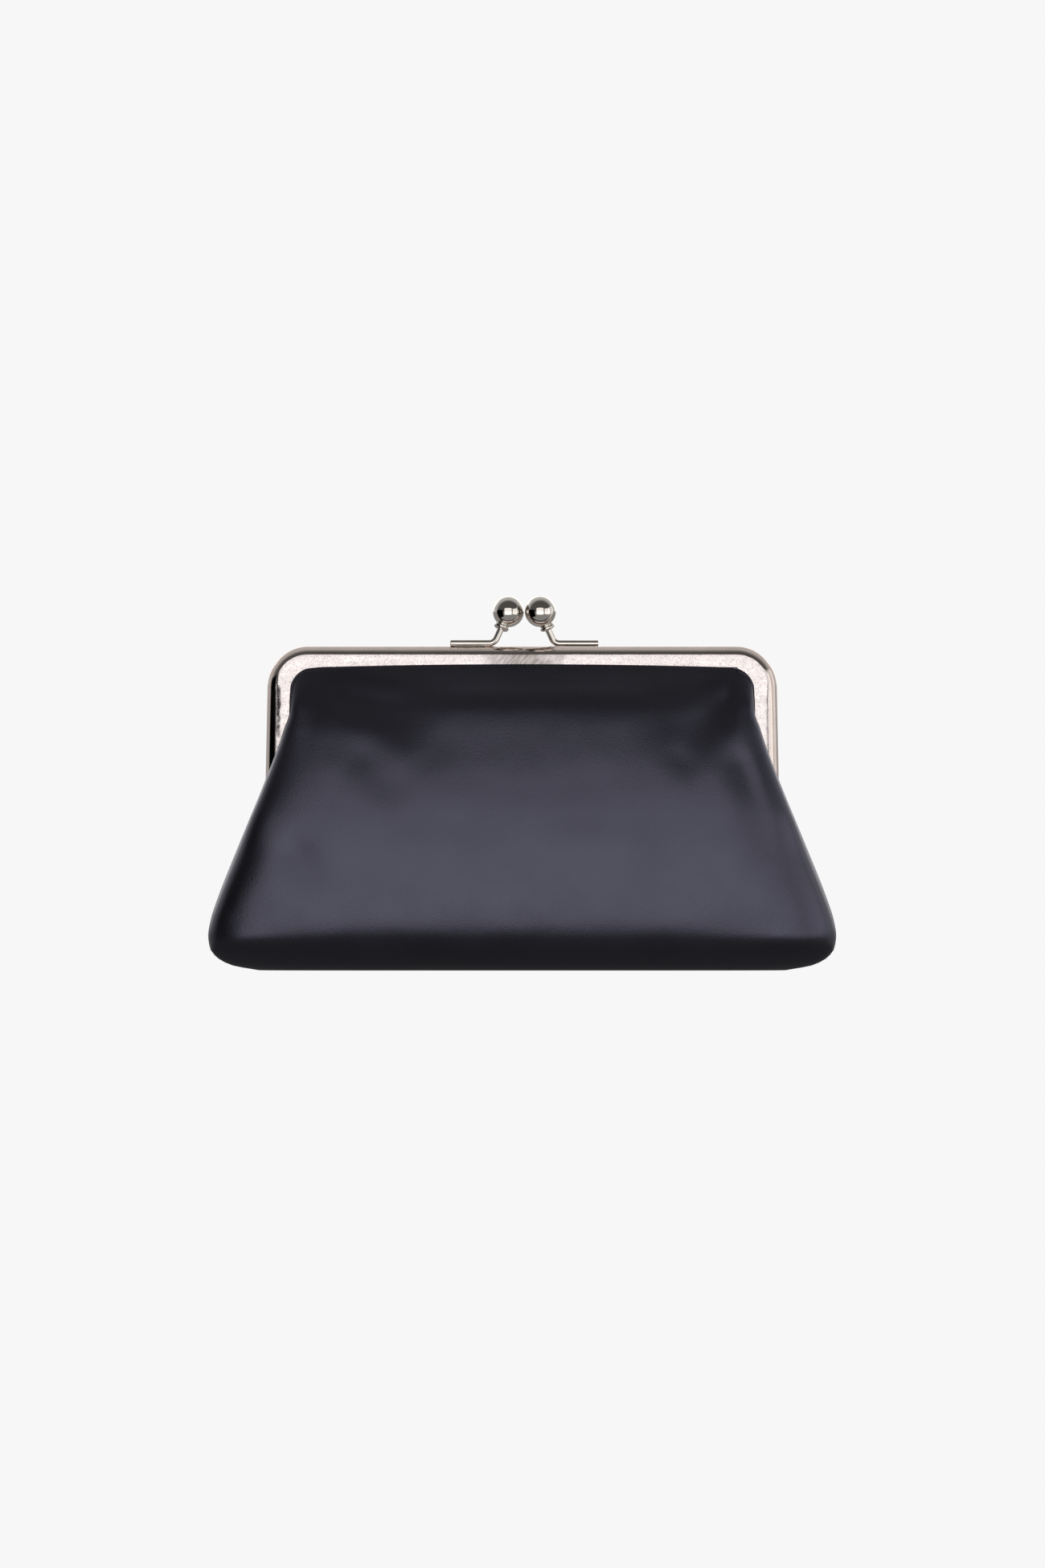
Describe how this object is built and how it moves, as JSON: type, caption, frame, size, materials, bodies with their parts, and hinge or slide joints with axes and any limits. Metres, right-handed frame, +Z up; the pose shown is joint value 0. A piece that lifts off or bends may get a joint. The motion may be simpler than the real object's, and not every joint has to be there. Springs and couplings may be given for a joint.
{
  "type": "kiss lock frame purse",
  "caption": "Smooth black leather clutch purse on a hinged nickel-plated channel frame, with a kiss lock of crossing balls on bent rods.",
  "frame": {"origin": "middle of the base, on the surface that the purse stands on", "axes": "+X to the right seen from the front, along the hinge line; the front faces -Y; +Z up, from the base to the clasp"},
  "size_m": [0.2008, 0.045, 0.1203],
  "materials": {
    "nickel_plate": "polished nickel plate, finely pitted on the pressed frame",
    "black_leather": "smooth fine-grained semi-matte leather",
    "lining_cloth": "plain woven cotton",
    "paper_cord": "twisted kraft paper"
  },
  "bodies": {
    "pouch": {"front_leather_lower": "black_leather", "front_leather_fold": "black_leather", "front_lining_lower": "lining_cloth", "front_lining_fold": "lining_cloth", "rear_leather_lower": "black_leather", "rear_leather_fold": "black_leather", "rear_lining_lower": "lining_cloth", "rear_lining_fold": "lining_cloth"},
    "front_half": {"front_frame": "nickel_plate", "front_paper_cord": "paper_cord", "front_clasp_stem": "nickel_plate", "front_clasp_collar": "nickel_plate", "front_clasp_ball": "nickel_plate", "front_leather_upper": "black_leather", "front_lining_upper": "lining_cloth"},
    "rear_half": {"rear_frame": "nickel_plate", "rear_paper_cord": "paper_cord", "rear_clasp_stem": "nickel_plate", "rear_clasp_collar": "nickel_plate", "rear_clasp_ball": "nickel_plate", "rear_leather_upper": "black_leather", "rear_lining_upper": "lining_cloth", "left_hinge_rivet": "nickel_plate", "right_hinge_rivet": "nickel_plate"}
  },
  "joints": [
    {"name": "front_hinge", "type": "hinge", "parent": "pouch", "child": "front_half", "pos_m": [0, 0, 0.049], "axis": [1, 0, 0], "range_deg": [0, 40], "deforming": ["front_leather_fold", "front_lining_fold"]},
    {"name": "rear_hinge", "type": "hinge", "parent": "pouch", "child": "rear_half", "pos_m": [0, 0, 0.049], "axis": [1, 0, 0], "range_deg": [-40, 0], "deforming": ["rear_leather_fold", "rear_lining_fold"]}
  ],
  "couplings": [
    {"joint": "rear_hinge", "follows": "front_hinge", "ratio": -1}
  ]
}
